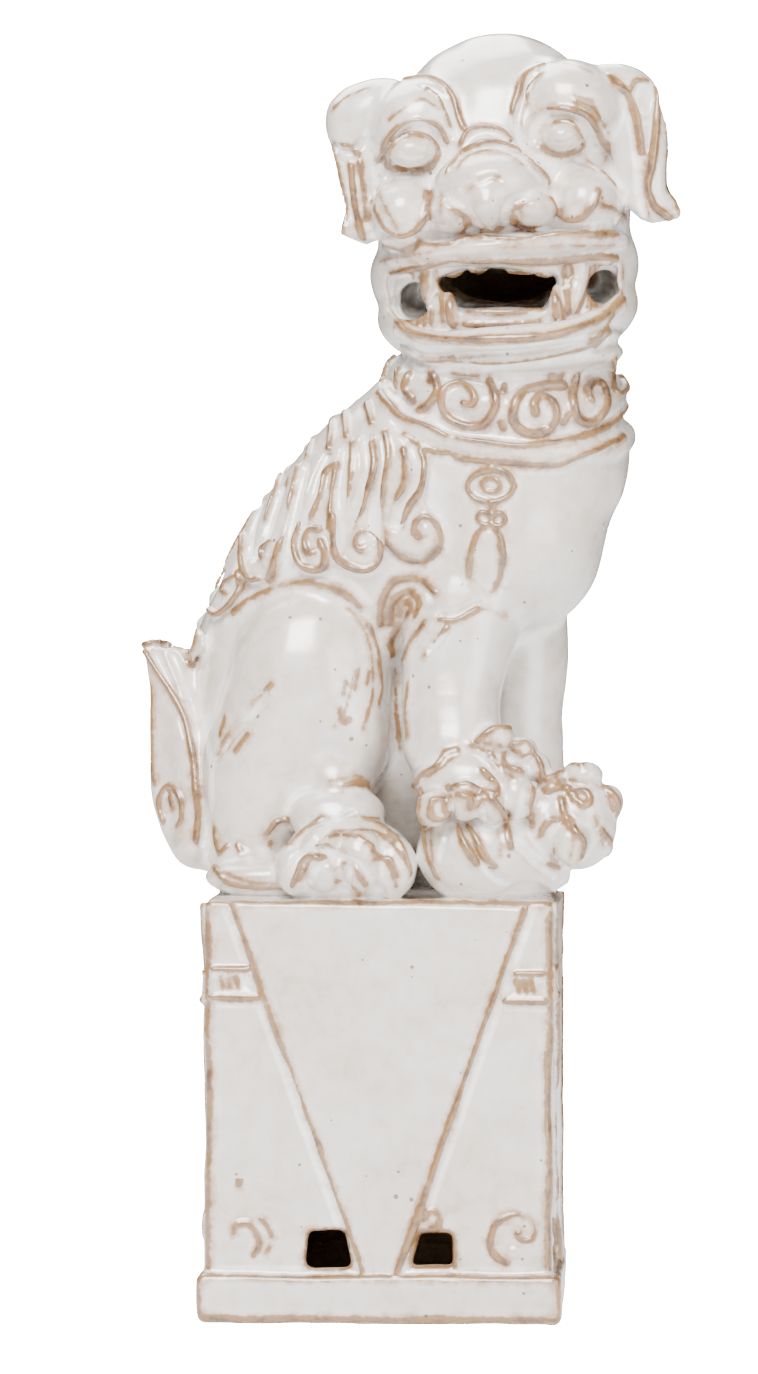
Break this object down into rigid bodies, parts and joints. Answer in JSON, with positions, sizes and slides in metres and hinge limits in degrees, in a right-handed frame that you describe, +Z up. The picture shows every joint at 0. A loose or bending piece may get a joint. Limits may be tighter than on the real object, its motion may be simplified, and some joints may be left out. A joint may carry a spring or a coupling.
{
  "type": "guardian lion statue",
  "caption": "Seated ceramic guardian lion with one forepaw on a cub, its head turned to the front, on a tall hollow rectangular pedestal with a hanging cloth apron; stands as an ornament.",
  "frame": {"origin": "centre of the foot, on the surface that the pedestal stands on", "axes": "-Y is the front, towards which the face and the pedestal's broad face look; the lion's body points to +X; +Z is up"},
  "size_m": [0.1654, 0.1333, 0.3889],
  "materials": {
    "glazed_body": "glossy white reactive glaze that breaks to tan on raised edges",
    "foot_clay": "glossy white glaze, wiped back to tan clay at the foot"
  },
  "bodies": {
    "root": {"plinth": "foot_clay", "front_wall": "glazed_body", "back_wall": "glazed_body", "left_wall": "glazed_body", "right_wall": "glazed_body", "deck": "glazed_body", "drape_apron": "glazed_body", "waist_bands": "glazed_body", "foot_scrolls": "glazed_body", "torso": "glazed_body", "right_haunch": "glazed_body", "left_haunch": "glazed_body", "right_hind_paw": "glazed_body", "left_hind_paw": "glazed_body", "right_foreleg": "glazed_body", "left_foreleg": "glazed_body", "right_fore_paw": "glazed_body", "left_fore_paw": "glazed_body", "tail": "glazed_body", "cub_body": "glazed_body", "cub_head": "glazed_body", "head_shell": "glazed_body", "lower_jaw": "glazed_body", "nose": "glazed_body", "eyeballs": "glazed_body", "upper_teeth": "glazed_body", "lower_teeth": "glazed_body", "left_ear": "glazed_body", "right_ear": "glazed_body", "collar_roll": "glazed_body", "collar_scrolls": "glazed_body", "chest_pendant": "glazed_body", "right_mane": "glazed_body", "left_mane": "glazed_body", "spine_curls": "glazed_body"}
  },
  "joints": []
}
